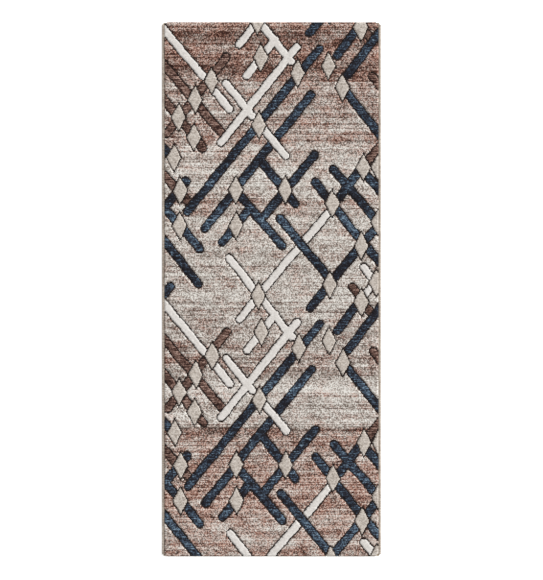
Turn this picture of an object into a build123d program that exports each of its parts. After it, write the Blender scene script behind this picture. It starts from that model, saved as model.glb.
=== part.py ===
from build123d import *
import math
import os

# A machine-woven pile runner rug, lying flat, pile up.
# Frame: +X across the rug, +Y along it towards the head end, +Z up through the pile.
# The origin is on the floor, under the middle of the rug.  All sizes are in millimetres.

# ---- Whole rug ---------------------------------------------------------------
rug_width = 800.0
rug_length = 1950.0

# ---- Woven base, from the floor up -------------------------------------------
coating_thickness = 0.6      # latex back coating
tape_thickness = 0.4         # hem tape; the adhesive film fills up to the coating's top
pick_thickness = 0.8         # one layer of weft
warp_thickness = 0.6         # layer of warp between the two weft layers
pick_pitch = 25.0            # one modelled pick or warp stands for a bundle of fine ones
pick_width = 20.0
warp_pitch = 25.0
stuffer_width = 17.0
chain_warp_width = 4.0

lower_pick_base = coating_thickness
warp_base = lower_pick_base + pick_thickness
upper_pick_base = warp_base + warp_thickness
base_top = upper_pick_base + pick_thickness

# ---- Pile heights above the floor --------------------------------------------
ground_pile_top = 11.0
motif_pile_top = 10.0
outline_pile_top = 8.8

# ---- Serged long edges -------------------------------------------------------
serging_width = 10.5
serging_height = 6.6
serging_end_gap = 8.0        # the overcasting stops short of both ends
serging_shoulder = 4.2       # height where it meets the pile
serging_wall = 1.4
cord_radius = 2.0
weave_margin = 4.7           # how far the base runs in under the overcasting

# ---- Hemmed ends -------------------------------------------------------------
tape_depth = 30.0
tape_lip = 0.8               # the tape folds up over the cut end of the weave
tape_lip_top = 3.2
head_pile_margin = 0.8       # bare strip between the pile and the end
foot_pile_margin = 3.0
corner_cut_across = 10.0
corner_cut_along = 6.0
heading_pick_depth = 5.0
heading_pick_gap = 1.2       # between the tape's lip and the last pick
stitch_thread = 0.8
stitch_run = 8.5
stitch_pitch = 12.5
hem_stitch_row = 38.5        # in pick pitches from the middle: a gap between two picks

# ---- Blank care label, sewn to the underside near the foot end ---------------
label_thickness = 0.3
label_width = 56.0
label_depth = 34.0
label_stitch_columns = (-22.5, -21.5, -20.5, -19.5)    # in stitch pitches from the middle
label_stitch_rows = (-35.5, -34.5)                     # in pick pitches from the middle

# ---- Pattern -----------------------------------------------------------------
# Places are (across, down): millimetres from the left edge and from the head end.
repeat_length = 1003.0
repeat_drift = 2.0           # each repeat sits this much further right
repeat_steps = (-1, 0, 1)    # the whole repeats that can reach the rug
bar_width = 24.5
diamond_half_width = 24.5
diamond_half_height = 46.5
outline_width = 6.0

# Each bar is the centre line of a round-ended stripe.  Groups are listed lowest first:
# a later group is woven over an earlier one where they cross.
brown_bars = [
    ((234, 128), (18, 407)),
    ((-8, 137), (218, 406)),
    ((-8, 262), (149, 460)),
    ((-8, 542), (92, 652)),
    ((768, 198), (808, 246)),
    ((805, 440), (745, 515)),
    ((695, 967), (730, 1010)),
    ((728, 19), (768, 66)),
]
lower_ivory_bars = [
    ((611, 692), (371, 972)),
]
navy_bars = [
    ((574, 98), (93, 691)),
    ((732, -2), (639, 122)),
    ((797, 32), (677, 193)),
    ((667, 248), (800, 418)),
    ((544, 264), (287, 585)),
    ((269, 612), (157, 752)),
    ((363, 509), (485, 662)),
    ((557, 484), (375, 706)),
    ((284, 632), (437, 815)),
    ((320, 680), (220, 803)),
    ((431, 717), (603, 926)),
    ((731, 808), (540, 1043)),
    ((559, 584), (724, 796)),
    ((625, 538), (772, 710)),
    ((719, 543), (648, 640)),
    ((733, 541), (800, 621)),
    ((798, 729), (739, 801)),
    ((745, 817), (802, 885)),
    ((70, 745), (136, 827)),
    ((-8, 777), (133, 955)),
    ((89, 579), (-1, 691)),
    ((-8, 655), (62, 738)),
    ((-15, 435), (35, 492)),
    ((31, 964), (-11, 1016)),
]
upper_ivory_bars = [
    ((-10, 6), (151, 198)),
    ((233, 224), (329, 342)),
    ((186, 244), (245, 316)),
    ((491, 91), (214, 440)),
    ((350, -4), (282, 80)),
    ((356, -2), (471, 145)),
    ((412, 64), (308, 195)),
    ((362, 380), (452, 488)),
    ((246, 861), (344, 989)),
    ((736, 894), (764, 929)),
    ((773, 958), (733, 1001)),
]
diamonds = [
    (181, 215), (121, 283), (61, 347), (116, 420), (44, 495),
    (361, 128), (496, 186), (608, 160), (658, 239), (354, 375),
    (735, 531), (790, 530), (269, 612), (449, 612), (66, 615),
    (622, 662), (790, 730), (65, 743), (270, 743), (728, 817),
    (613, 958), (351, 998), (782, 951), (728, 1021),
]
# ---- end of pattern ----------------------------------------------------------


def on_rug(across, down):
    """Turn a pattern place into X and Y."""
    return (across - rug_width / 2, rug_length / 2 - down)


def repeats(places):
    """Shift places by every whole repeat that can reach the rug."""
    return [
        [(a + n * repeat_drift, d + n * repeat_length) for a, d in places] for n in repeat_steps
    ]


def is_in_reach(places):
    """Say whether a bar or diamond comes near the rug's length."""
    lowest = min(d for a, d in places)
    highest = max(d for a, d in places)
    reach = diamond_half_height + 2 * outline_width
    return highest > -reach and lowest < rug_length + reach


def stripe(start, end, width):
    """A round-ended stripe between two pattern places."""
    x1, y1 = on_rug(*start)
    x2, y2 = on_rug(*end)
    length = math.hypot(x2 - x1, y2 - y1)
    turn = math.degrees(math.atan2(y2 - y1, x2 - x1))
    return Pos((x1 + x2) / 2, (y1 + y2) / 2) * SlotCenterToCenter(length, width, rotation=turn)


def diamond(centre, grow):
    """A diamond about a pattern place, its sides moved out by grow."""
    x, y = on_rug(*centre)
    side = math.hypot(diamond_half_width, diamond_half_height)
    half_width = diamond_half_width + grow * side / diamond_half_height
    half_height = diamond_half_height + grow * side / diamond_half_width
    corners = [(half_width, 0), (0, half_height), (-half_width, 0), (0, -half_height)]
    return Pos(x, y) * Polygon(*corners, align=None)


def bars_region(bars, grow):
    """All the repeats of a group of bars, each side moved out by grow."""
    placed = [pair for bar in bars for pair in repeats(bar) if is_in_reach(pair)]
    return Sketch() + [stripe(*pair, bar_width + 2 * grow) for pair in placed]


def diamonds_region(grow):
    """All the repeats of the diamonds, each side moved out by grow."""
    placed = [one[0] for centre in diamonds for one in repeats([centre]) if is_in_reach(one)]
    return Sketch() + [diamond(centre, grow) for centre in placed]


def cut_corner_plan(half_width, near_y, far_y):
    """A rectangle between two Y values, with its four corners cut off."""
    shoulder = half_width - corner_cut_across
    right = [
        (shoulder, near_y),
        (half_width, near_y + corner_cut_along),
        (half_width, far_y - corner_cut_along),
        (shoulder, far_y),
    ]
    left = [(-x, y) for x, y in reversed(right)]
    return Polygon(*right, *left, align=None)


# ---- Pile --------------------------------------------------------------------
pile_half_width = rug_width / 2 - serging_width
half_length = rug_length / 2


def pile_regions():
    """Flat regions of the five yarn colours and of the ground, with no overlap."""
    field = cut_corner_plan(
        pile_half_width, -half_length + foot_pile_margin, half_length - head_pile_margin
    )
    groups = [
        ("brown", bars_region(brown_bars, 0), bars_region(brown_bars, outline_width)),
        ("ivory", bars_region(lower_ivory_bars, 0), bars_region(lower_ivory_bars, outline_width)),
        ("navy", bars_region(navy_bars, 0), bars_region(navy_bars, outline_width)),
        ("ivory", bars_region(upper_ivory_bars, 0), bars_region(upper_ivory_bars, outline_width)),
        ("beige", diamonds_region(0), diamonds_region(outline_width)),
    ]
    regions = {}
    seen = Sketch()
    for colour, core, grown in reversed(groups):
        visible = core & field
        if seen.faces():
            visible = visible - seen
        regions[colour] = visible if colour not in regions else regions[colour] + visible
        seen = seen + grown
    regions["ground"] = field - seen
    cores = Sketch() + [face for colour in ("brown", "ivory", "navy", "beige")
                        for face in regions[colour].faces()]
    regions["outline"] = (seen & field) - cores
    return regions


def pile(region, top):
    """Stand a flat region of pile on the woven base."""
    return extrude(Pos(0, 0, base_top) * region, amount=top - base_top)


# ---- Woven base --------------------------------------------------------------
weave_half_width = pile_half_width + weave_margin
serging_half_length = half_length - serging_end_gap
pick_count = math.floor((serging_half_length - pick_width / 2) / pick_pitch)
heading_pick_y = half_length - tape_lip - heading_pick_gap - heading_pick_depth / 2
heading_half_width = pile_half_width - corner_cut_across


def block(width, depth, height, x, y, base):
    """A rectangular yarn or bundle, by the middle of its underside."""
    return Pos(x, y, base + height / 2) * Box(width, depth, height)


def weft_picks(base):
    """One layer of weft: regular picks, and a short heading pick at each end."""
    picks = [
        block(2 * weave_half_width, pick_width, pick_thickness, 0, n * pick_pitch, base)
        for n in range(-pick_count, pick_count + 1)
    ]
    for end in (-1, 1):
        picks.append(block(2 * heading_half_width, heading_pick_depth, pick_thickness,
                           0, end * heading_pick_y, base))
    return Compound(children=picks)


def warps(width, places):
    """Straight warp yarns side by side, between the two layers of weft."""
    length = 2 * (heading_pick_y + heading_pick_depth / 2)
    short = 2 * serging_half_length
    yarns = []
    for x in places:
        inside = abs(x) + width / 2 <= heading_half_width
        yarns.append(block(width, length if inside else short, warp_thickness, x, 0, warp_base))
    return Compound(children=yarns)


def stuffer_places():
    """X of each stuffer warp; the outermost run in under the overcasting."""
    count = math.floor((weave_half_width - stuffer_width / 2) / warp_pitch)
    return [n * warp_pitch for n in range(-count, count + 1)]


def chain_places():
    """X of each chain warp, midway between two stuffers."""
    return [x + warp_pitch / 2 for x in stuffer_places()[:-1]]


# ---- Sewn threads ------------------------------------------------------------
def stitch(column, row, run_height):
    """One stitch: a run on the underside and two legs up to the warps, between two picks."""
    x = column * stitch_pitch
    y = row * pick_pitch
    run = block(stitch_run, stitch_thread, run_height, x, y, 0)
    reach = (stitch_run - stitch_thread) / 2
    legs = [
        block(stitch_thread, stitch_thread, warp_base - run_height, x + side * reach, y, run_height)
        for side in (-1, 1)
    ]
    return run + legs


def hem_stitches(end):
    """The stitch row that holds one hem tape."""
    count = math.floor((heading_half_width - stitch_run) / stitch_pitch)
    columns = range(-count, count + 1)
    return [stitch(column, end * hem_stitch_row, tape_thickness) for column in columns]


def label_stitches():
    """Two short rows of stitches that hold the label."""
    return [
        stitch(column, row, label_thickness)
        for row in label_stitch_rows
        for column in label_stitch_columns
    ]


# ---- Hemmed ends and back ----------------------------------------------------
def end_strip(end, inset, base, height):
    """A strip across one end, as deep as the hem tape, whose outer side is set in."""
    plan = cut_corner_plan(pile_half_width, inset - half_length, half_length - inset)
    middle = end * (half_length - tape_depth / 2)
    plan &= Pos(0, middle) * Rectangle(rug_width, tape_depth)
    return extrude(Pos(0, 0, base) * plan, amount=height)


def hem_tape(end, threads):
    """The tape under one end, folded up over the cut weave."""
    lip_y = end * (half_length - tape_lip / 2)
    lip = block(2 * heading_half_width, tape_lip, tape_lip_top - tape_thickness,
                0, lip_y, tape_thickness)
    return end_strip(end, 0, 0, tape_thickness) + lip - threads


def hem_adhesive(end, threads):
    """The glue film between one hem tape and the weave."""
    return end_strip(end, tape_lip, tape_thickness, coating_thickness - tape_thickness) - threads


def care_label(threads):
    """A plain rectangle of ribbon, let into the back coating, centred on its stitches."""
    x = sum(label_stitch_columns) / len(label_stitch_columns) * stitch_pitch
    y = sum(label_stitch_rows) / len(label_stitch_rows) * pick_pitch
    return block(label_width, label_depth, label_thickness, x, y, 0) - threads


def back_coating(label, threads):
    """The latex film over the back, between the hem tapes."""
    depth = rug_length - 2 * tape_depth
    film = block(2 * pile_half_width, depth, coating_thickness, 0, 0, 0)
    return film - label - threads


# ---- Serged long edges -------------------------------------------------------
cord_inset = serging_wall + cord_radius
cord_height = serging_height / 2


def selvedge_cord(side):
    """The filler cord that runs inside one serged edge."""
    x = side * (rug_width / 2 - cord_inset)
    section = Plane.XZ * Pos(x, cord_height) * Circle(cord_radius)
    return extrude(section, amount=serging_half_length, both=True)


def serging(side):
    """The overcast yarn of one long edge, round the cord and the edge of the weave."""
    edge = rug_width / 2
    round_radius = serging_height / 2
    crown = edge - round_radius
    shoulder = edge - serging_width
    crown_inner = crown - round_radius
    outline = Polyline((shoulder, serging_shoulder), (shoulder, 0), (crown, 0))
    outline += ThreePointArc((crown, 0), (edge, round_radius), (crown, serging_height))
    outline += Line((crown, serging_height), (crown_inner, serging_height))
    outline += TangentArc((crown_inner, serging_height), (shoulder, serging_shoulder), tangent=(-1, 0))
    section = make_face(outline)
    slot_height = base_top - lower_pick_base
    slot_middle = (shoulder + weave_margin / 2, lower_pick_base + slot_height / 2)
    section -= Pos(*slot_middle) * Rectangle(weave_margin, slot_height)
    section -= Pos(edge - cord_inset, cord_height) * Circle(cord_radius)
    sleeve = extrude(Plane.XZ * section, amount=serging_half_length, both=True)
    return sleeve if side > 0 else mirror(sleeve, Plane.YZ)


# ---- Write every sub-part ----------------------------------------------------
def main():
    head_threads = hem_stitches(1)
    foot_threads = hem_stitches(-1)
    label_threads = label_stitches()
    label = care_label(label_threads)
    regions = pile_regions()
    nodes = {
        "back_coating": back_coating(label, label_threads),
        "head_hem_tape": hem_tape(1, head_threads),
        "foot_hem_tape": hem_tape(-1, foot_threads),
        "head_hem_adhesive": hem_adhesive(1, head_threads),
        "foot_hem_adhesive": hem_adhesive(-1, foot_threads),
        "head_hem_stitches": Compound(children=head_threads),
        "foot_hem_stitches": Compound(children=foot_threads),
        "care_label": label,
        "label_stitches": Compound(children=label_threads),
        "lower_weft_picks": weft_picks(lower_pick_base),
        "upper_weft_picks": weft_picks(upper_pick_base),
        "stuffer_warps": warps(stuffer_width, stuffer_places()),
        "chain_warps": warps(chain_warp_width, chain_places()),
        "left_selvedge_cord": selvedge_cord(-1),
        "right_selvedge_cord": selvedge_cord(1),
        "left_serging": serging(-1),
        "right_serging": serging(1),
        "pile_ground": pile(regions["ground"], ground_pile_top),
        "pile_ivory_bars": pile(regions["ivory"], motif_pile_top),
        "pile_navy_bars": pile(regions["navy"], motif_pile_top),
        "pile_brown_bars": pile(regions["brown"], motif_pile_top),
        "pile_beige_diamonds": pile(regions["beige"], motif_pile_top),
        "pile_dark_outline": pile(regions["outline"], outline_pile_top),
    }
    os.makedirs("parts", exist_ok=True)
    for name, shape in nodes.items():
        export_step(shape, os.path.join("parts", name + ".step"))


main()
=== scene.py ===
import math

import bmesh
import bpy
import numpy as np
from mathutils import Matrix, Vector
from mathutils.bvhtree import BVHTree
from mathutils.geometry import tessellate_polygon


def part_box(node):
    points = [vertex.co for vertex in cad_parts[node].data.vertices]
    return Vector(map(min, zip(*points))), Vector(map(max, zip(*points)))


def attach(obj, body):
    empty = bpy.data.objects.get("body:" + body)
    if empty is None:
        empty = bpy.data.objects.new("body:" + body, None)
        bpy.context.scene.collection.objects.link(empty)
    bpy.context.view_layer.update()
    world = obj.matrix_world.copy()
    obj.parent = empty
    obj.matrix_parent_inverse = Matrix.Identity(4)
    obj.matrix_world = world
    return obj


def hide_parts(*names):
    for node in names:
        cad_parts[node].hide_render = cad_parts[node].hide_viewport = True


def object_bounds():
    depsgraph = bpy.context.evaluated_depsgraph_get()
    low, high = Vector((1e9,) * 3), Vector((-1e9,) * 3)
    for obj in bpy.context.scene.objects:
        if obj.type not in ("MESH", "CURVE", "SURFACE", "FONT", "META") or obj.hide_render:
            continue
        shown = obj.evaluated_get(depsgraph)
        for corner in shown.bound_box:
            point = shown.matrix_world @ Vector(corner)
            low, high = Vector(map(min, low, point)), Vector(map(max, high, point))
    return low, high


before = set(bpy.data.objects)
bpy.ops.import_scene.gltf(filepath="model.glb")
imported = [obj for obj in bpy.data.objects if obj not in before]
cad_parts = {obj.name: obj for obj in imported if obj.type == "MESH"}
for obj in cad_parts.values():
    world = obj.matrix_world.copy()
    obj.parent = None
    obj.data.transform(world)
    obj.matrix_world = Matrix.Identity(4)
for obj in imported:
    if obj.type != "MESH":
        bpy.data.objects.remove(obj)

# A machine-woven pile runner rug, lying flat, pile up.
# Row frame, in metres: +X across the rug, +Y towards the head end, +Z up through the pile.

cad_low, cad_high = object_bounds()
MM = 0.001
SHARP_ANGLE = 50.0           # degrees: a harder corner than this is shaded as an edge

# ---- Pile --------------------------------------------------------------------
TUFT_PITCH = 3.5 * MM
TUFT_DIP = 1.2 * MM          # how far the hollow between four tufts lies below their tops
EDGE_DROP = 1.7 * MM         # how far a field's edge rounds down, past that hollow
EDGE_LEAN = 1.0 * MM         # how far the outermost tufts lean out over the rug's edges
LINE_SLIM = 1.2 * MM         # the outlines lose this much to the fuller yarn on each side
# How far the pattern's edges go astray, each with the run of tufts over which they do so.
ASTRAY = [(1.2 * MM, 2), (2.0 * MM, 9)]
HEIGHT_SPREAD = 0.50 * MM    # tufts aren't sheared to quite the same height
PLACE_SPREAD = 0.50 * MM     # nor do they stand in perfect rows
CROWN_MARGIN = 0.6 * MM      # keeps the tallest tuft under the CAD pile's top
CORNER_GAP = 0.05 * MM       # half the gap between two tufts that meet only corner to corner
NO_YARN = -1                 # in the yarn map, where no tuft stands
SEED = 11

field_low, field_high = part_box("pile_ground")
COLUMNS = round((field_high.x - field_low.x) / TUFT_PITCH)
ROWS = round((field_high.y - field_low.y) / TUFT_PITCH)
PITCH = ((field_high.x - field_low.x) / COLUMNS, (field_high.y - field_low.y) / ROWS)
random = np.random.default_rng(SEED)

# Pile nodes, each with its yarn's name.
PILE_YARNS = {
    "pile_ground": "ground",
    "pile_ivory_bars": "ivory",
    "pile_navy_bars": "navy",
    "pile_brown_bars": "brown",
    "pile_beige_diamonds": "beige",
    "pile_dark_outline": "outline",
}

# ---- Serged edges ------------------------------------------------------------
WRAP_PITCH = 3.2 * MM
WRAP_DEPTH = 1.5 * MM        # the valley between two wraps, were they full half circles
WRAP_SAMPLES = 6             # rings of points in one wrap
WRAP_FULLNESS = 0.95         # how much of a half circle's width a wrap takes up
WRAP_SPREAD = (0.7, 1.3)     # the valleys' depth varies by this much from wrap to wrap
DEEPEST_DIP = 1.15 * MM      # never through to the cord
THIN_SHARE = 0.35            # under the weave there is less yarn, so the valleys are shallower
END_RUN = 5.0 * MM           # the overcasting slims over this run at each end
END_ROUND = 0.6 * MM
END_OVERHANG = 0.4 * MM      # the yarn goes on just past the cord's cut end
CORD_CLEARANCE = 0.05 * MM
SHOULDER_SHARE = 0.64        # where the overcasting meets the pile, of its full height
UNDERSIDE_PLACES = (1.0, 0.86, 0.72, 0.58)  # points along the flat underside, of the full width
OUTER_STEPS = 8              # round the outer half circle
SHOULDER_STEPS = 4           # down to the pile
BORE_POINTS = 16             # round the filler cord

# ---- Ground cloth ------------------------------------------------------------
RIB_DEPTH = 0.28 * MM


# ==== Materials ===============================================================
TEXTILE_SPECULAR = 0.15
SHEEN_ROUGHNESS = 0.6
FRAY_SIZE = 1.3 * MM         # tufts of different colours mingle in wisps this size
FRAY_REACH = 1.0             # in tufts: how far the wisps reach
FRAY_DETAIL = 1.0
FIBRE_DETAIL = 3.0
FIBRE_BUMP = 0.6

# Sizes in metres along X, Y and Z. A size of 1 along Z keeps a noise the same through the pile's depth.
LONG_STREAK = (1.1, 0.0045, 1)           # these two run right across the rug
LONG_BAND = (1.6, 0.022, 1)
SHORT_STREAK = (0.05, 0.006, 1)
GROUND_PATCH = (0.06, 0.035, 1)
ROSE_PATCH = (0.07, 0.045, 1)
YARN_STREAK = (0.03, 3.8 * MM, 1)        # about one row of tufts
YARN_PATCH = (0.04, 0.02, 1)
FIBRE_SIZE = (0.0007, 0.0007, 0.002)
PILE_FIBRE = (0.0009, 0.0009, 0.003)
WRAP_SIZE = (1, WRAP_PITCH, 1)
WRAP_PATCH = (0.004, 0.02, 0.004)
WRAP_FIBRE = (0.0006, 0.003, 0.0006)
FILM_MOTTLE = (0.02, 0.02, 0.02)
FILM_SPECK = (0.002, 0.002, 0.002)

# Depth of the bump that each surface's fibres or threads make, in metres.
GROUND_RELIEF = 0.0006
YARN_RELIEF = 0.0005
WRAP_RELIEF = 0.0004
FILM_RELIEF = 0.0004

# How much each noise counts in a tone, or in the ground's share of rose yarn.
GROUND_TONE = {
    "tuft": 0.78, "pair": 0.16, "streak": 0.80, "band": 0.60, "dash": 0.45, "patch": 0.40, "fibre": 0.75,
}
ROSE_SPREAD = {"patch": 2.0, "tuft": 0.80, "streak": -1.70, "band": -0.90}
ROSE_TONE = {"streak": 0.45}
WRAP_TONE = {"wrap": 0.9, "patch": 0.6}
WOVEN_TONE = {"weave": 0.6, "slub": 0.9}
TWIST_TONE = {"strand": 0.7, "fibre": 0.8}
FILM_TONE = {"mottle": 1.0, "speck": 0.5, "rib": 0.35}

# Blender's wave texture turns by this many radians a metre at scale 1: along an axis, and on the diagonal.
AXIS_TURN = 20
DIAGONAL_TURN = 10


def linear(colour):
    """A colour of three 0 to 255 screen values as a linear RGBA."""
    scaled = [c / 255 for c in colour]
    return [c / 12.92 if c <= 0.04045 else ((c + 0.055) / 1.055) ** 2.4 for c in scaled] + [1.0]


def new_material(name, roughness=0.9, sheen=0.04):
    """A matt textile material; returns it with its node tree and its shader."""
    material = bpy.data.materials.new(name)
    material.use_nodes = True
    shader = material.node_tree.nodes["Principled BSDF"]
    shader.inputs["Roughness"].default_value = roughness
    shader.inputs["Specular IOR Level"].default_value = TEXTILE_SPECULAR
    shader.inputs["Sheen Weight"].default_value = sheen
    shader.inputs["Sheen Roughness"].default_value = SHEEN_ROUGHNESS
    return material, material.node_tree, shader


def rug_place(tree):
    """The place on the rug, in metres."""
    return tree.nodes.new("ShaderNodeTexCoord").outputs["Object"]


def coordinates(tree, scale, offset=(0, 0, 0)):
    """The place on the rug, scaled and then moved along each axis."""
    mapping = tree.nodes.new("ShaderNodeMapping")
    mapping.inputs["Scale"].default_value = scale
    mapping.inputs["Location"].default_value = offset
    tree.links.new(rug_place(tree), mapping.inputs["Vector"])
    return mapping.outputs["Vector"]


def noise(tree, size, offset=0.0, detail=2.0):
    """Soft noise from 0 to 1 whose patches are about size metres; offset sets it apart from others."""
    texture = tree.nodes.new("ShaderNodeTexNoise")
    texture.inputs["Scale"].default_value = 1.0
    texture.inputs["Detail"].default_value = detail
    vector = coordinates(tree, [1 / s for s in size], (offset, offset, 0))
    tree.links.new(vector, texture.inputs["Vector"])
    return texture.outputs["Fac"]


def tuft_noise(tree, offset=0.0, run=1):
    """A random value from 0 to 1 for each tuft, or run of tufts along the weft, with frayed edges."""
    scale = (1 / PITCH[0] / run, 1 / PITCH[1], 0)
    shift = (-field_low.x / PITCH[0] / run, -field_low.y / PITCH[1] + offset, 0)
    wisps = tree.nodes.new("ShaderNodeTexNoise")
    wisps.inputs["Scale"].default_value = 1 / FRAY_SIZE
    wisps.inputs["Detail"].default_value = FRAY_DETAIL
    tree.links.new(rug_place(tree), wisps.inputs["Vector"])
    stray = tree.nodes.new("ShaderNodeVectorMath")
    stray.operation = "MULTIPLY_ADD"
    stray.inputs[1].default_value = (FRAY_REACH / run, FRAY_REACH, 0)
    tree.links.new(wisps.outputs["Color"], stray.inputs[0])
    tree.links.new(coordinates(tree, scale, [s - FRAY_REACH / 2 for s in shift]), stray.inputs[2])
    floor = tree.nodes.new("ShaderNodeVectorMath")
    floor.operation = "FLOOR"
    tree.links.new(stray.outputs["Vector"], floor.inputs[0])
    texture = tree.nodes.new("ShaderNodeTexWhiteNoise")
    texture.noise_dimensions = "2D"
    tree.links.new(floor.outputs["Vector"], texture.inputs["Vector"])
    return texture.outputs["Value"]


def calculate(tree, operation, a, b=0.0, clamp=False):
    """One calculation on one or two values, each a socket or a number."""
    node = tree.nodes.new("ShaderNodeMath")
    node.operation = operation
    node.use_clamp = clamp
    for socket, value in zip(node.inputs, (a, b)):
        if isinstance(value, (int, float)):
            socket.default_value = value
        else:
            tree.links.new(value, socket)
    return node.outputs[0]


def centred(tree, middle, weights, **values):
    """middle, plus how far each value is from a half, times the weight of the same name."""
    total = middle
    for name, value in values.items():
        part = calculate(tree, "MULTIPLY", calculate(tree, "SUBTRACT", value, 0.5), weights[name])
        total = calculate(tree, "ADD", part, total)
    return total


def linear_ramp(tree, value, stops):
    """A colour from a list of (place, linear RGBA) stops."""
    node = tree.nodes.new("ShaderNodeValToRGB")
    elements = node.color_ramp.elements
    while len(elements) < len(stops):
        elements.new(0.5)
    for element, (place, colour) in zip(elements, stops):
        element.position = place
        element.color = colour
    tree.links.new(value, node.inputs["Fac"])
    return node.outputs["Color"]


def ramp(tree, value, stops):
    """A colour from a list of (place, screen colour) stops."""
    return linear_ramp(tree, value, [(place, linear(colour)) for place, colour in stops])


def level_ramp(tree, value, stops):
    """A plain value from a list of (place, level) stops."""
    return linear_ramp(tree, value, [(place, (level, level, level, 1)) for place, level in stops])


def mix(tree, factor, first, second):
    """Two colours mixed by a factor."""
    node = tree.nodes.new("ShaderNodeMix")
    node.data_type = "RGBA"
    tree.links.new(factor, node.inputs["Factor"])
    tree.links.new(first, node.inputs["A"])
    tree.links.new(second, node.inputs["B"])
    return node.outputs["Result"]


def fibre_bump(tree, shader, size, depth):
    """Fine fibres as bump."""
    bump = tree.nodes.new("ShaderNodeBump")
    bump.inputs["Strength"].default_value = FIBRE_BUMP
    bump.inputs["Distance"].default_value = depth
    tree.links.new(noise(tree, size, detail=FIBRE_DETAIL), bump.inputs["Height"])
    tree.links.new(bump.outputs["Normal"], shader.inputs["Normal"])


def fibre_tone(tree, offset):
    """Single fibres, lighter and darker, within each tuft."""
    return noise(tree, FIBRE_SIZE, offset=offset, detail=FIBRE_DETAIL)


def down_the_rug(tree):
    """0 at the head end, 1 at the foot end."""
    length = cad_high.y - cad_low.y
    axes = tree.nodes.new("ShaderNodeSeparateXYZ")
    scale, shift = (1, -1 / length, 1), (0, cad_high.y / length, 0)
    tree.links.new(coordinates(tree, scale, shift), axes.inputs[0])
    return axes.outputs["Y"]


# Colours of the ground's two yarns, from dark to light.
ROSE_STOPS = [
    (0.10, (52, 29, 22)),
    (0.31, (104, 67, 55)),
    (0.50, (155, 113, 98)),
    (0.69, (191, 151, 135)),
    (0.90, (218, 194, 181)),
]
STONE_STOPS = [
    (0.10, (108, 96, 87)),
    (0.31, (156, 145, 136)),
    (0.50, (193, 186, 178)),
    (0.69, (214, 209, 202)),
    (0.90, (232, 229, 223)),
]
# How much of the ground is rose yarn, by place down the rug.
ROSE_SHARE = [
    (0.00, 0.84), (0.095, 0.94), (0.11, 0.58), (0.16, 0.42), (0.22, 0.55), (0.26, 0.18),
    (0.31, 0.02), (0.34, 0.48), (0.37, 0.12), (0.52, 0.04), (0.58, 0.20), (0.645, 0.46),
    (0.67, 0.00), (0.73, 0.10), (0.757, 0.14), (0.762, 0.82), (0.80, 0.60), (0.84, 0.80),
    (0.91, 0.82), (0.94, 0.54), (1.00, 0.60),
]
# How light the ground is, by place down the rug.
GROUND_SHADE = [
    (0.00, 0.51), (0.030, 0.20), (0.06, 0.48), (0.085, 0.21), (0.10, 0.30), (0.11, 0.50),
    (0.14, 0.42), (0.20, 0.46), (0.28, 0.56), (0.31, 0.56), (0.34, 0.44), (0.39, 0.54), (0.45, 0.47),
    (0.50, 0.52), (0.55, 0.45), (0.635, 0.42), (0.662, 0.36), (0.672, 0.47), (0.69, 0.70),
    (0.72, 0.42), (0.743, 0.58), (0.754, 0.50), (0.760, 0.22), (0.78, 0.47), (0.85, 0.49),
    (0.95, 0.51), (1.00, 0.47),
]
# How light the navy yarns are, by place down the rug: near-black stretches between teal ones.
NAVY_SHADE = [
    (0.00, 0.36), (0.07, 0.48), (0.095, 0.28), (0.12, 0.45), (0.20, 0.48), (0.265, 0.28),
    (0.30, 0.50), (0.328, 0.26), (0.37, 0.58), (0.42, 0.46), (0.465, 0.26), (0.50, 0.48),
    (0.53, 0.32), (0.60, 0.48), (0.62, 0.28), (0.69, 0.58), (0.712, 0.34), (0.86, 0.48),
    (0.895, 0.36), (0.94, 0.56), (1.00, 0.50),
]


def ground_material():
    """Heathered frieze: rose brown and stone yarns, in bands and weft-wise streaks."""
    material, tree, shader = new_material("ground_pile_yarn")
    down = down_the_rug(tree)
    streak = noise(tree, LONG_STREAK, offset=3.0)
    band = noise(tree, LONG_BAND, offset=17.0)
    tone = centred(
        tree, level_ramp(tree, down, GROUND_SHADE), GROUND_TONE,
        tuft=tuft_noise(tree),
        pair=tuft_noise(tree, offset=53.0, run=2),
        streak=streak,
        band=band,
        dash=noise(tree, SHORT_STREAK, offset=6.0),
        patch=noise(tree, GROUND_PATCH, offset=8.0),
        fibre=fibre_tone(tree, offset=27.0),
    )
    rose = centred(
        tree, level_ramp(tree, down, ROSE_SHARE), ROSE_SPREAD,
        patch=noise(tree, ROSE_PATCH, offset=21.0),
        tuft=tuft_noise(tree, offset=37.0),
        streak=streak,
        band=band,
    )
    rose = calculate(tree, "MULTIPLY", rose, 1.0, clamp=True)
    rose_tone = centred(tree, tone, ROSE_TONE, streak=streak)
    colour = mix(tree, rose, ramp(tree, tone, STONE_STOPS), ramp(tree, rose_tone, ROSE_STOPS))
    tree.links.new(colour, shader.inputs["Base Color"])
    fibre_bump(tree, shader, PILE_FIBRE, GROUND_RELIEF)
    return material


def heather_material(name, stops, grain, streaks, patches=0.0, shade=None):
    """A yarn whose tone changes from tuft to tuft, in weft-wise streaks and in patches."""
    material, tree, shader = new_material(name)
    middle = 0.5 if shade is None else level_ramp(tree, down_the_rug(tree), shade)
    weights = {"tuft": grain, "pair": grain / 2, "streak": streaks, "patch": patches, "fibre": grain}
    tone = centred(
        tree, middle, weights,
        tuft=tuft_noise(tree, offset=11.0),
        pair=tuft_noise(tree, offset=71.0, run=2),
        streak=noise(tree, YARN_STREAK, offset=5.0),
        patch=noise(tree, YARN_PATCH, offset=14.0),
        fibre=fibre_tone(tree, offset=43.0),
    )
    tree.links.new(ramp(tree, tone, stops), shader.inputs["Base Color"])
    fibre_bump(tree, shader, PILE_FIBRE, YARN_RELIEF)
    return material


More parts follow.
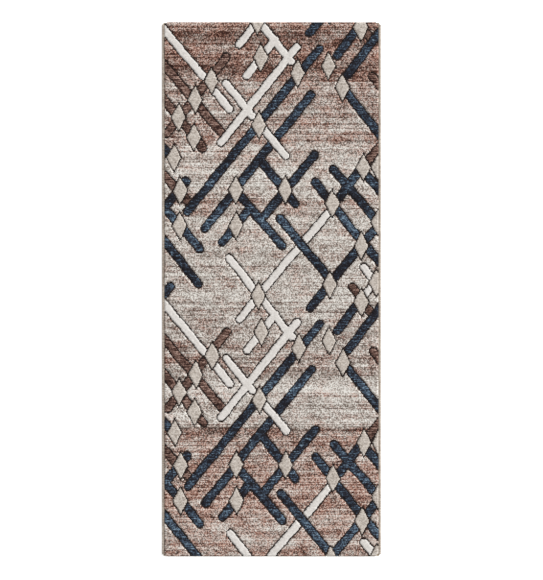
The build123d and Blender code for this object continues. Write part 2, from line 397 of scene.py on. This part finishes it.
def pile_materials():
    """Every pile yarn's material, by yarn."""
    ivory = [(0.2, (200, 194, 188)), (0.5, (219, 214, 209)), (0.8, (235, 232, 227))]
    navy = [(0.26, (24, 22, 28)), (0.42, (36, 38, 47)), (0.57, (58, 69, 85)),
            (0.74, (84, 106, 126)), (0.92, (142, 164, 180))]
    brown = [(0.15, (32, 16, 13)), (0.35, (60, 39, 33)), (0.50, (94, 69, 60)),
             (0.68, (136, 107, 96)), (0.90, (184, 158, 146))]
    beige = [(0.15, (132, 120, 110)), (0.5, (193, 183, 173)), (0.85, (224, 217, 209))]
    outline = [(0.2, (16, 9, 7)), (0.5, (32, 23, 20)), (0.8, (74, 58, 52))]
    return {
        "ground": ground_material(),
        "ivory": heather_material("ivory_pile_yarn", ivory, grain=0.26, streaks=0.45),
        "navy": heather_material(
            "navy_pile_yarn", navy, grain=0.42, streaks=1.45, patches=0.50, shade=NAVY_SHADE),
        "brown": heather_material("brown_pile_yarn", brown, grain=0.35, streaks=1.60, patches=0.50),
        "beige": heather_material("beige_pile_yarn", beige, grain=0.34, streaks=0.75),
        "outline": heather_material("outline_pile_yarn", outline, grain=0.35, streaks=0.50),
    }


def serging_material():
    """Beige overcast yarn, a little different from wrap to wrap."""
    material, tree, shader = new_material("overcast_yarn", roughness=0.75, sheen=0.35)
    tone = centred(
        tree, 0.5, WRAP_TONE,
        wrap=noise(tree, WRAP_SIZE, offset=2.0),
        patch=noise(tree, WRAP_PATCH),
    )
    stops = [(0.3, (136, 122, 109)), (0.5, (164, 151, 138)), (0.7, (188, 178, 166))]
    tree.links.new(ramp(tree, tone, stops), shader.inputs["Base Color"])
    fibre_bump(tree, shader, WRAP_FIBRE, WRAP_RELIEF)
    return material


def plain_weave(tree, pitch):
    """Height of a plain weave, 0 to 1: threads both ways, each over and under its neighbours."""
    axes = tree.nodes.new("ShaderNodeSeparateXYZ")
    tree.links.new(coordinates(tree, (1 / pitch, 1 / pitch, 1)), axes.inputs[0])
    threads, cells = [], []
    for axis in ("X", "Y"):
        turn = calculate(tree, "MULTIPLY", axes.outputs[axis], math.pi)
        threads.append(calculate(tree, "ABSOLUTE", calculate(tree, "SINE", turn)))
        cells.append(calculate(tree, "FLOOR", axes.outputs[axis]))
    over = calculate(tree, "PINGPONG", calculate(tree, "ADD", *cells), 1.0)
    warp = calculate(tree, "MULTIPLY", threads[0], over)
    weft = calculate(tree, "MULTIPLY", threads[1], calculate(tree, "SUBTRACT", 1.0, over))
    return calculate(tree, "ADD", warp, weft)


def textile(name, height, stops, depth, roughness):
    """A textile whose colour and bump both follow the height that height(tree) gives. Its colour is
    painted shade and light: darker where the surface lies low, in its hollows, and lighter where it stands
    high.
    """
    material, tree, shader = new_material(name, roughness)
    level = height(tree)
    # painted shade and light: the first stop colours the hollows, the last stop the crowns
    tree.links.new(ramp(tree, level, stops), shader.inputs["Base Color"])
    bump = tree.nodes.new("ShaderNodeBump")
    bump.inputs["Distance"].default_value = depth
    tree.links.new(level, bump.inputs["Height"])
    tree.links.new(bump.outputs["Normal"], shader.inputs["Normal"])
    return material


def woven_material(name, dark, light, pitch, roughness=0.85):
    """Plain-woven cloth, with slubs where a thread runs thick. Its colour is painted shade in the hollows
    between threads and painted light on the threads' crowns and slubs.
    """
    def height(tree):
        slub = noise(tree, (pitch * 2, pitch * 12, pitch * 2))
        return centred(tree, 0.5, WOVEN_TONE, weave=plain_weave(tree, pitch), slub=slub)
    # dark is painted shade for the weave's hollows, light is painted light for its crowns
    return textile(name, height, [(0.25, dark), (0.75, light)], pitch / 4, roughness)


def bands(tree, direction, period, distortion=0.0):
    """Soft bands from 0 to 1, of one period in metres along X, Y or Z, or on the diagonal."""
    wave = tree.nodes.new("ShaderNodeTexWave")
    wave.bands_direction = direction
    turn = DIAGONAL_TURN if direction == "DIAGONAL" else AXIS_TURN
    wave.inputs["Scale"].default_value = 2 * math.pi / turn / period
    wave.inputs["Distortion"].default_value = distortion
    tree.links.new(rug_place(tree), wave.inputs["Vector"])
    return wave.outputs["Fac"]


def twisted_material(name, dark, light, period):
    """Plied yarn: slanting strands, with painted shade in the grooves between them and painted light on
    their crowns; the fibre noise is the yarn's own tone.
    """
    def height(tree):
        return centred(
            tree, 0.5, TWIST_TONE,
            strand=bands(tree, "DIAGONAL", period, distortion=0.8),
            fibre=noise(tree, (period, period, period)),
        )
    return textile(name, height, [(0.2, dark), (0.8, light)], period / 4, roughness=0.8)


def film_material(name, dark, light, roughness, ribs):
    """A brushed-on film: mottled, with the weave's ribs showing through it. The mottle and specks are the
    film's own colour; the ribs show in its colour as painted shade in their hollows and painted light on
    their crests.
    """
    def height(tree):
        return centred(
            tree, 0.5, FILM_TONE,
            mottle=noise(tree, FILM_MOTTLE, detail=5.0),
            speck=noise(tree, FILM_SPECK, offset=9.0),
            rib=bands(tree, "Y", ribs, distortion=0.6),
        )
    return textile(name, height, [(0.25, dark), (0.75, light)], FILM_RELIEF, roughness)


# ==== Meshes ==================================================================
def make_piece(name, points, faces, material, nodes):
    """A smooth-shaded piece on the rug's only body, shown in place of CAD nodes, which it hides."""
    mesh = bpy.data.meshes.new(name)
    mesh.from_pydata(points, [], faces)
    mesh.validate()
    mesh.shade_smooth()
    mesh.materials.append(material)
    piece = bpy.data.objects.new(name, mesh)
    bpy.context.scene.collection.objects.link(piece)
    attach(piece, "root")
    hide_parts(*nodes)
    return piece


def tube_faces(first, count, rings):
    """The quads between rings of count points each, the first ring starting at point first."""
    faces = []
    for ring in range(first, first + count * (rings - 1), count):
        for step in range(count):
            a, b = ring + step, ring + (step + 1) % count
            faces.append((a, b, b + count, a + count))
    return faces


def plan_uv(piece):
    """UVs that are the rug's plan, so that a baked colour falls where it lies."""
    mesh = piece.data
    corners = np.empty(len(mesh.loops), np.int32)
    mesh.loops.foreach_get("vertex_index", corners)
    places = np.empty(len(mesh.vertices) * 3, np.float32)
    mesh.vertices.foreach_get("co", places)
    places = places.reshape(-1, 3)[corners, :2]
    size = np.array(cad_high - cad_low)[:2]
    shares = (places - np.array(cad_low)[:2]) / size
    layer = mesh.uv_layers.new(name="OFBake")
    layer.data.foreach_set("uv", shares.astype(np.float32).ravel())


def tidy_normals(piece):
    """Faces of a closed piece turned outwards, and its hard corners shaded as such."""
    solid = bmesh.new()
    solid.from_mesh(piece.data)
    bmesh.ops.recalc_face_normals(solid, faces=solid.faces)
    solid.to_mesh(piece.data)
    solid.free()
    piece.data.set_sharp_from_angle(angle=math.radians(SHARP_ANGLE))


# ---- Tuft rows ---------------------------------------------------------------
def astray(reach, run):
    """How far each tuft's place in the pattern strays along one axis: random, in smooth runs."""
    knots = random.uniform(-reach, reach, (ROWS // run + 2, COLUMNS // run + 2))
    rows, columns = np.arange(ROWS) / run, np.arange(COLUMNS) / run
    along = np.array([np.interp(rows, np.arange(len(knots)), line) for line in knots.T])
    return np.array([np.interp(columns, np.arange(len(along)), line) for line in along.T])


def yarn_map():
    """Which pile node stands under each tuft's middle, by number, or NO_YARN."""
    points, triangles, owners = [], [], []
    for number, node in enumerate(PILE_YARNS):
        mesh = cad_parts[node].data
        first = len(points)
        points += [vertex.co[:] for vertex in mesh.vertices]
        for polygon in mesh.polygons:
            triangles.append([first + v for v in polygon.vertices])
            owners.append(number)
    tree = BVHTree.FromPolygons(points, triangles)

    def yarn_at(x, y):
        """The pile node at a place, by number."""
        face = tree.ray_cast(Vector((x, y, cad_high.z * 2)), Vector((0, 0, -1)))[2]
        return NO_YARN if face is None else owners[face]

    x, y = np.meshgrid(
        field_low.x + (np.arange(COLUMNS) + 0.5) * PITCH[0],
        field_low.y + (np.arange(ROWS) + 0.5) * PITCH[1],
    )
    x = np.clip(x + sum(astray(*step) for step in ASTRAY), x.min(), x.max())
    y = np.clip(y + sum(astray(*step) for step in ASTRAY), y.min(), y.max())
    line = list(PILE_YARNS.values()).index("outline")
    yarns = np.full((ROWS, COLUMNS), NO_YARN)
    for place in np.ndindex(yarns.shape):
        yarn = yarn_at(x[place], y[place])
        if yarn == line:
            beside = [yarn_at(x[place] + step, y[place]) for step in (-LINE_SLIM, LINE_SLIM)]
            yarn = next((other for other in beside if other not in (line, NO_YARN)), line)
        yarns[place] = yarn
    return yarns


def lattice():
    """X and Y of every tuft corner, a little out of true except along the rug's edges."""
    x, y = np.meshgrid(
        np.linspace(field_low.x, field_high.x, COLUMNS + 1),
        np.linspace(field_low.y, field_high.y, ROWS + 1),
    )
    shift = random.uniform(-PLACE_SPREAD, PLACE_SPREAD, (2, ROWS + 1, COLUMNS + 1))
    shift[0][:, [0, -1]] = 0
    shift[1][[0, -1], :] = 0
    return x + shift[0], y + shift[1]


def around(values):
    """Each lattice corner's four neighbouring tuft values, stacked; outside is 0."""
    padded = np.pad(values, 1)
    return np.stack([padded[:-1, :-1], padded[:-1, 1:], padded[1:, :-1], padded[1:, 1:]])


def outward(shape):
    """-1, 0 or 1 for each lattice corner, across and along: which of the rug's rims it is on."""
    across, along = np.zeros(shape), np.zeros(shape)
    across[:, 0], across[:, -1] = -1, 1
    along[0], along[-1] = -1, 1
    return across, along


def pile_piece(number, node, yarns, corners, heights, material):
    """All the tufts of one yarn as one closed mesh: crowned tops, rounded edges, straight sides."""
    mine = yarns == number
    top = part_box(node)[1].z - CROWN_MARGIN
    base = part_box(node)[0].z
    beside = around(mine.astype(float))
    count = beside.sum(0)
    near = around(np.where(mine, heights, 0)).sum(0) / np.maximum(count, 1)
    edge = (count > 0) & (count < 4)
    rim = around((yarns != NO_YARN).astype(float)).sum(0) < 4
    rounded = edge & rim if PILE_YARNS[node] == "outline" else edge
    corner_top = top + near - TUFT_DIP - np.where(rounded, EDGE_DROP, 0)

    # Where two tufts meet only corner to corner, each has its own corner point, a hair apart:
    # the one nearer the foot end keeps the point's index, and the other has its twin.
    used = count > 0
    rising = (count == 2) & (beside[0] + beside[3] == 2)
    falling = (count == 2) & (beside[1] + beside[2] == 2)
    shared = rising | falling
    index = np.cumsum(used.ravel()).reshape(used.shape) - 1
    twin = int(used.sum()) + np.cumsum(shared.ravel()).reshape(used.shape) - 1
    total = int(used.sum() + shared.sum())

    def corner_values(values):
        """The values at the corners in use, and after them at the twins."""
        return np.concatenate([values[used], values[shared]])

    x = corner_values(corners[0])
    side = np.concatenate([np.where(shared[used], -1, 0), np.ones(int(shared.sum()))])
    y = corner_values(corners[1]) + CORNER_GAP * side
    z = corner_values(corner_top)
    across, along = (corner_values(rims) for rims in outward(used.shape))
    upper = np.column_stack([x + EDGE_LEAN * across, y + EDGE_LEAN * along, z])
    lower = np.column_stack([x, y, np.full(total, base)])

    rows, columns = np.nonzero(mine)
    a = np.where(rising, twin, index)[rows, columns]
    b = np.where(falling, twin, index)[rows, columns + 1]
    c, d = index[rows + 1, columns + 1], index[rows + 1, columns]
    middle = (upper[a] + upper[b] + upper[c] + upper[d]) / 4
    middle[:, :2] += random.uniform(-PLACE_SPREAD, PLACE_SPREAD, (len(middle), 2))
    middle[:, 2] += TUFT_DIP
    m = 2 * total + np.arange(len(middle))

    faces = [np.column_stack(corner + (m,)) for corner in ((a, b), (b, c), (c, d), (d, a))]
    triangles = np.concatenate(faces).tolist()
    floor = np.column_stack([d, c, b, a]) + total
    walls = []
    framed = np.pad(mine, 1)
    sides = [((0, 1), (a, b)), ((1, 2), (b, c)), ((2, 1), (c, d)), ((1, 0), (d, a))]
    for (row_step, column_step), (start, end) in sides:
        open_side = ~framed[rows + row_step, columns + column_step]
        s, e = start[open_side], end[open_side]
        walls.append(np.column_stack([s, s + total, e + total, e]))
    quads = np.concatenate([floor, *walls]).tolist()
    points = np.concatenate([upper, lower, middle]).tolist()
    yarn = PILE_YARNS[node]
    piece = make_piece(f"{yarn}_pile_tufts", points, triangles + quads, material, [node])
    plan_uv(piece)
    return piece


def all_pile():
    """One piece for each pile yarn."""
    yarns = yarn_map()
    corners = lattice()
    heights = random.uniform(-HEIGHT_SPREAD, HEIGHT_SPREAD, yarns.shape)
    materials = pile_materials()
    return [
        pile_piece(number, node, yarns, corners, heights, materials[yarn])
        for number, (node, yarn) in enumerate(PILE_YARNS.items())
    ]


# ---- Serged edges ------------------------------------------------------------
def serging_section(width, height, weave_edge, weave_low, weave_high):
    """The overcast edge's outline seen along the rug: points as (in from the edge, up, share of dip)."""
    radius = height / 2
    points = [(width * part, 0, THIN_SHARE) for part in UNDERSIDE_PLACES]
    points.append((radius, 0, 1))
    for step in range(1, OUTER_STEPS):
        angle = math.pi * step / OUTER_STEPS
        points.append((radius - radius * math.sin(angle), radius - radius * math.cos(angle), 1))
    points += [(radius, height, 1), (height, height, 1)]
    fall, run = height * (1 - SHOULDER_SHARE), width - height
    fall_radius = (run**2 + fall**2) / (2 * fall)
    for step in range(1, SHOULDER_STEPS + 1):
        reach = run * step / SHOULDER_STEPS
        up = height - fall_radius + math.sqrt(fall_radius**2 - reach**2)
        points.append((height + reach, up, 1))
    points += [(width, weave_high, 0), (weave_edge, weave_high, 0)]
    points += [(weave_edge, weave_low, 0), (width, weave_low, 0)]
    return np.array(points)


def cord_bore(cord_node, edge_x, base):
    """A ring of points just round the filler cord, as (in from the edge, up)."""
    low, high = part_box(cord_node)
    middle = (low + high) / 2
    radius = (high.x - low.x) / 2 + CORD_CLEARANCE
    angles = -2 * math.pi * np.arange(BORE_POINTS) / BORE_POINTS
    return np.column_stack([
        abs(edge_x - middle.x) + radius * np.cos(angles),
        middle.z - base + radius * np.sin(angles),
    ])


def wrap_dips(phase, past, thickness):
    """How far the yarn dips at each phase of the helix; past is 0 to 1 over the last run at an end."""
    across = 2 * (phase % 1) - 1
    valley = 1 - np.sqrt(1 - (WRAP_FULLNESS * across) ** 2)
    dip = WRAP_DEPTH * valley * thickness[phase.astype(int)]
    return np.minimum(dip + END_ROUND * (1 - math.sqrt(1 - past**2)), DEEPEST_DIP)


def serged_edge(node, cord_node, side, material):
    """One overcast edge: a sleeve of yarn wound in a helix over the cord and the weave's edge."""
    low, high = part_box(node)
    weave_low, weave_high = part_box("lower_weft_picks")[0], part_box("upper_weft_picks")[1]
    outline = serging_section(
        high.x - low.x, high.z - low.z, max(abs(low.x), abs(high.x)) - weave_high.x,
        weave_low.z - low.z, weave_high.z - low.z)
    section, share = outline[:, :2], outline[:, 2]
    count = len(section)
    inward = section.mean(0) - section
    inward /= np.linalg.norm(inward, axis=1)[:, None]
    edge_x = high.x if side > 0 else low.x
    bore = cord_bore(cord_node, edge_x, low.z)

    start, end = low.y - END_OVERHANG, high.y + END_OVERHANG
    wraps = math.floor((end - start) / WRAP_PITCH)
    thickness = random.uniform(*WRAP_SPREAD, wraps + 3)
    turn = np.arange(count) / count
    stations = np.linspace(start, end, wraps * WRAP_SAMPLES + 1)
    points = []
    for y in stations:
        past = 1 - min(y - start, end - y, END_RUN) / END_RUN
        dip = wrap_dips((y - start) / WRAP_PITCH + turn, past, thickness)
        ring = section + inward * (dip * share)[:, None]
        points += [(edge_x - side * inset, y, low.z + up) for inset, up in ring]
    bore_start = len(points)
    for y in (start, end):
        points += [(edge_x - side * inset, y, low.z + up) for inset, up in bore]

    faces = tube_faces(0, count, len(stations)) + tube_faces(bore_start, len(bore), 2)
    for outer, inner in ((0, bore_start), (bore_start - count, bore_start + len(bore))):
        rim = [*range(outer, outer + count), *range(inner, inner + len(bore))]
        flat = [Vector((points[corner][0], points[corner][2], 0)) for corner in rim]
        cap = tessellate_polygon([flat[:count], flat[count:]])
        faces += [tuple(rim[corner] for corner in triangle) for triangle in cap]
    name = "right_overcast_edge" if side > 0 else "left_overcast_edge"
    piece = make_piece(name, points, faces, material, [node])
    tidy_normals(piece)
    return piece


# ---- Ground cloth ------------------------------------------------------------
def ground_cloth():
    """The woven ground that holds the tufts: one rib for each row of tufts, above and below."""
    low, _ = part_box("lower_weft_picks")
    _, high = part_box("upper_weft_picks")
    ribs = round((high.y - low.y) / PITCH[1])
    lines = np.linspace(low.y, high.y, 2 * ribs + 1)
    points = []
    for number, y in enumerate(lines):
        dip = RIB_DEPTH if number % 2 == 0 else 0
        points += [(low.x, y, low.z + dip), (high.x, y, low.z + dip),
                   (high.x, y, high.z - dip), (low.x, y, high.z - dip)]
    faces = [quad[::-1] for quad in tube_faces(0, 4, len(lines))]
    last = 4 * (len(lines) - 1)
    faces += [(0, 1, 2, 3), (last + 3, last + 2, last + 1, last)]
    # dark is partly painted shade in the weave's hollows, light partly painted light on its crowns
    material = woven_material(
        "ground_weave", dark=(146, 128, 104), light=(192, 176, 150), pitch=0.0012)
    nodes = ["lower_weft_picks", "upper_weft_picks", "stuffer_warps", "chain_warps"]
    cloth = make_piece("woven_ground_cloth", points, faces, material, nodes)
    tidy_normals(cloth)
    return cloth, low, high


# ---- CAD nodes that stay -----------------------------------------------------
def finish_cad_nodes():
    """Give every CAD node that is shown its material."""
    # In each material below, dark is the colour of the hollows, partly painted shade, and light that of
    # the crowns, partly painted light.
    tape = woven_material(
        "hem_tape_weave", dark=(168, 156, 140), light=(206, 197, 184), pitch=0.0007)
    thread = twisted_material(
        "sewing_thread_twist", dark=(150, 138, 122), light=(204, 194, 180), period=0.0006)
    cord = twisted_material(
        "filler_cord_twist", dark=(140, 128, 110), light=(196, 184, 164), period=0.0016)
    label = woven_material(
        "label_ribbon", dark=(216, 212, 204), light=(240, 238, 233), pitch=0.0004, roughness=0.55)
    glue = film_material(
        "hem_adhesive_film", dark=(190, 176, 140), light=(216, 204, 170), roughness=0.45, ribs=PITCH[1])
    latex = film_material(
        "latex_back", dark=(172, 163, 146), light=(206, 198, 182), roughness=0.7, ribs=PITCH[1])
    finishes = {
        "back_coating": latex,
        "head_hem_tape": tape, "foot_hem_tape": tape,
        "head_hem_adhesive": glue, "foot_hem_adhesive": glue,
        "head_hem_stitches": thread, "foot_hem_stitches": thread, "label_stitches": thread,
        "care_label": label,
        "left_selvedge_cord": cord, "right_selvedge_cord": cord,
    }
    for node, material in finishes.items():
        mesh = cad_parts[node].data
        mesh.materials.clear()
        mesh.materials.append(material)
    return [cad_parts[node] for node in finishes]


# ==== Studio ==================================================================
FLOOR_SIZE = 60.0            # lengths in metres, angles in degrees
FLOOR_GAP = 0.4 * MM
FLOOR_COLOUR = (0.93, 0.93, 0.93, 1)
CAMERA_HEIGHT = 5.875        # above the pile
CAMERA_LENS = 100.0          # millimetres, as is the sensor's width
CAMERA_SENSOR = 36.0
CAMERA_PLACE = (0.0001, -0.0022)
FLOOR_GLOW = 0.5
KEY_STRENGTH = 3.35
KEY_ELEVATION = 33.0
KEY_TURN = 25.0
KEY_SOFTNESS = 20.0          # how wide the lamp looks from the rug
# The studio's pale walls and dimmer ceiling: its light by the height of the direction, 0 to 1.
STUDIO_GLOW = [(0.00, 1.00), (0.26, 1.00), (0.45, 0.42)]


def floor():
    """A plain pale floor."""
    half = FLOOR_SIZE / 2
    mesh = bpy.data.meshes.new("studio_floor")
    corners = [(-half, -half), (half, -half), (half, half), (-half, half)]
    mesh.from_pydata([(x, y, -FLOOR_GAP) for x, y in corners], [], [(0, 1, 2, 3)])
    material, _, shader = new_material("studio_floor_paint", roughness=1.0, sheen=0.0)
    shader.inputs["Base Color"].default_value = FLOOR_COLOUR
    shader.inputs["Specular IOR Level"].default_value = 0.0
    shader.inputs["Emission Color"].default_value = (1, 1, 1, 1)
    shader.inputs["Emission Strength"].default_value = FLOOR_GLOW
    mesh.materials.append(material)
    plane = bpy.data.objects.new("studio_floor", mesh)
    bpy.context.scene.collection.objects.link(plane)


def lights():
    """Soft light from all round, and a soft key from the right that shows the pile's relief."""
    world = bpy.data.worlds.new("studio")
    world.use_nodes = True
    tree = world.node_tree
    background = tree.nodes["Background"]
    background.inputs["Color"].default_value = (1, 1, 1, 1)
    place = tree.nodes.new("ShaderNodeTexCoord")
    axes = tree.nodes.new("ShaderNodeSeparateXYZ")
    tree.links.new(place.outputs["Generated"], axes.inputs[0])
    glow = level_ramp(tree, axes.outputs["Z"], STUDIO_GLOW)
    tree.links.new(glow, background.inputs["Strength"])
    bpy.context.scene.world = world
    lamp = bpy.data.lights.new("key", "SUN")
    lamp.energy = KEY_STRENGTH
    lamp.angle = math.radians(KEY_SOFTNESS)
    key = bpy.data.objects.new("key", lamp)
    key.rotation_euler = (0, math.radians(90 - KEY_ELEVATION), math.radians(KEY_TURN))
    bpy.context.scene.collection.objects.link(key)


def camera():
    """Straight above the rug, with the head end at the top of the picture."""
    data = bpy.data.cameras.new("camera")
    data.lens = CAMERA_LENS
    data.sensor_width = CAMERA_SENSOR
    eye = bpy.data.objects.new("camera", data)
    eye.location = (*CAMERA_PLACE, CAMERA_HEIGHT + cad_high.z)
    bpy.context.scene.collection.objects.link(eye)
    bpy.context.scene.camera = eye
    bpy.context.scene.view_settings.view_transform = "Standard"


# ==== The rug =================================================================
pile = all_pile()
overcast = serging_material()
edges = [
    serged_edge("left_serging", "left_selvedge_cord", -1, overcast),
    serged_edge("right_serging", "right_selvedge_cord", 1, overcast),
]
cloth, cloth_low, cloth_high = ground_cloth()
kept = finish_cad_nodes()
floor()
lights()
camera()
